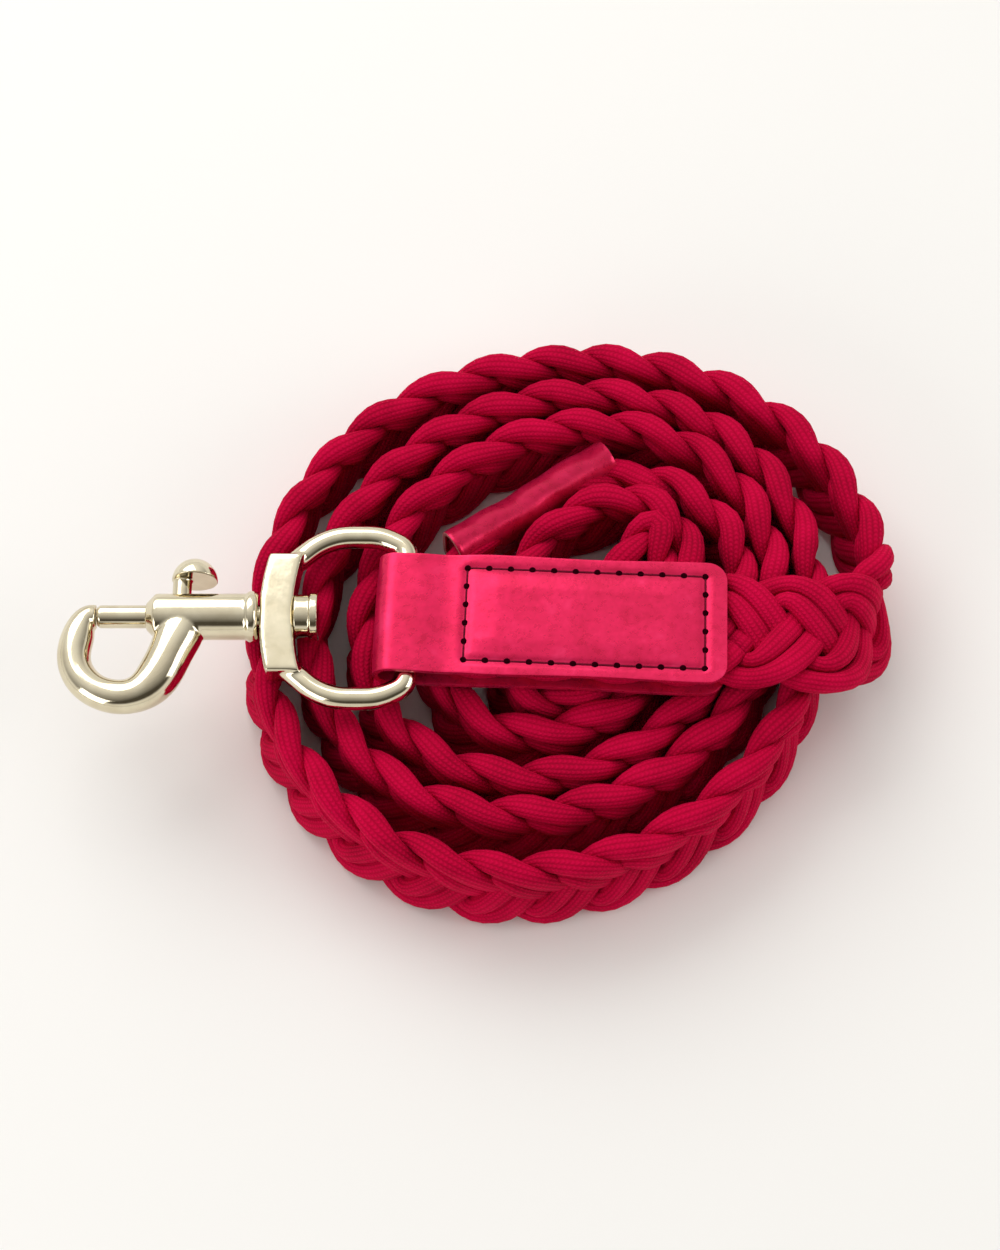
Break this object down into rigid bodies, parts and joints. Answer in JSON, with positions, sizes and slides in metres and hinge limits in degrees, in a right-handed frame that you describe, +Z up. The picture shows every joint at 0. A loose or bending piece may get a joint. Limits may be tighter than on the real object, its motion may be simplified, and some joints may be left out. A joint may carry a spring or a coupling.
{
  "type": "lead rope",
  "caption": "Coiled flat-braid lead rope with a stitched leather tab, a leather sleeve and a swivel bolt snap.",
  "frame": {"origin": "centre of the overall box, at the surface the coil lies on", "axes": "+Z up through the coil, +X along the leather tab away from the snap, +Y across the tab"},
  "size_m": [0.2668, 0.1922, 0.0518],
  "materials": {
    "braid": "knitted cord, matt with a soft sheen",
    "leather": "metallic sheen, fine grain",
    "thread": "waxed thread",
    "pale_thread": "waxed thread",
    "gold_metal": "polished light gold plating",
    "spring_steel": "drawn wire"
  },
  "bodies": {
    "rope": {"rope_coil": "braid", "rope_lead": "braid", "rope_end": "braid", "rope_in_sleeve": "braid", "tab_leather": "leather", "tab_stitching": "thread", "sleeve_leather": "leather", "sleeve_stitching": "pale_thread"},
    "eye": {"swivel_eye": "gold_metal"},
    "snap": {"snap_body": "gold_metal", "swivel_post": "gold_metal", "bolt_spring": "spring_steel"},
    "bolt": {"bolt": "gold_metal", "thumb_knob": "gold_metal"}
  },
  "joints": [
    {"name": "eye_swing", "type": "hinge", "parent": "rope", "child": "eye", "pos_m": [-0.02472, -0.01101, 0.04375], "axis": [0, 1, 0], "range_deg": [0, 135]},
    {"name": "snap_swivel", "type": "hinge", "parent": "eye", "child": "snap", "pos_m": [-0.06472, -0.01101, 0.04375], "axis": [1, 0, 0], "continuous": true},
    {"name": "bolt_slide", "type": "slide", "parent": "snap", "child": "bolt", "axis": [1, 0, 0], "range_m": [0, 0.011], "stiffness_N_per_m": 250, "springref_m": -0.012, "deforming": ["bolt_spring"]}
  ]
}
